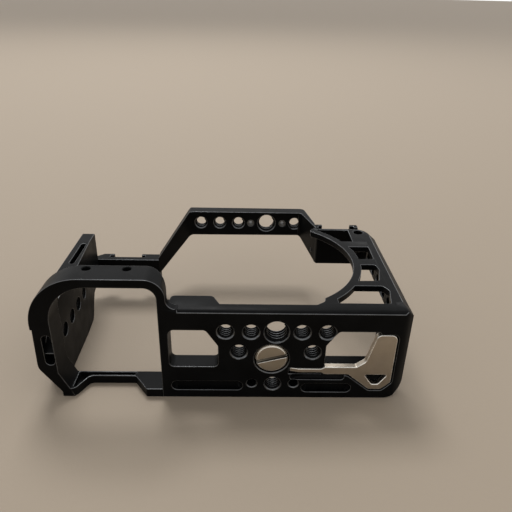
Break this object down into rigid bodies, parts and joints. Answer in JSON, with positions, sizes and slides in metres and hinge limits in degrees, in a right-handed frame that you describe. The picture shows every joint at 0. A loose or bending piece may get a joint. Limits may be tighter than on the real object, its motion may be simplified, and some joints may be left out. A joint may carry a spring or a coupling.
{
  "type": "camera cage",
  "caption": "Machined metal frame that bolts round a camera body, with threaded holes, accessory shoes, a captive camera screw and a stored screwdriver.",
  "frame": {"origin": "on the surface that the cage lies on with its back down, in the middle of the cage's width and height", "axes": "+X from the grip side to the port side, +Y from the camera's bottom to its top, +Z from the camera's back to its lens"},
  "size_m": [0.15, 0.106, 0.0558],
  "materials": {
    "anodised_frame": "black anodised aluminium, satin, fine bead-blasted grain",
    "screw_steel": "turned stainless steel, satin",
    "tool_steel": "stamped stainless steel, satin with bright edges",
    "steel_pins": "ground steel",
    "black_screws": "black oxide",
    "magnet_plating": "nickel plated",
    "washer_plastic": "matte",
    "rubber_pads": "matte"
  },
  "bodies": {
    "cage": {"base_plate": "anodised_frame", "battery_rail": "anodised_frame", "grip_arch": "anodised_frame", "grip_side_plate": "anodised_frame", "grip_shoulder": "anodised_frame", "top_bridge": "anodised_frame", "port_shoulder": "anodised_frame", "port_side_strip": "anodised_frame", "front_web": "anodised_frame", "tool_magnets": "magnet_plating", "locating_bushes": "steel_pins", "base_pads": "rubber_pads", "base_plate_dowels": "steel_pins", "arch_frame_dowels": "steel_pins", "top_bridge_dowels": "steel_pins", "port_strip_dowels": "steel_pins", "grip_shoulder_screws": "black_screws", "shoe_stops": "steel_pins"},
    "washer": {"screw_washer": "washer_plastic"},
    "screw": {"camera_screw": "screw_steel"},
    "tool": {"screwdriver": "tool_steel"}
  },
  "joints": [
    {"name": "screw_travel", "type": "slide", "parent": "cage", "child": "washer", "axis": [0, -1, 0], "range_m": [0, 0.00381]},
    {"name": "screw_turn", "type": "hinge", "parent": "washer", "child": "screw", "pos_m": [0.0198, -0.05, 0.02], "axis": [0, -1, 0], "range_deg": [0, 1080]},
    {"name": "screwdriver_pull", "type": "slide", "parent": "cage", "child": "tool", "axis": [0, -1, 0], "range_m": [0, 0.02]}
  ],
  "couplings": [
    {"joint": "screw_turn", "follows": "screw_travel", "rad_per_m": 4947.4}
  ]
}
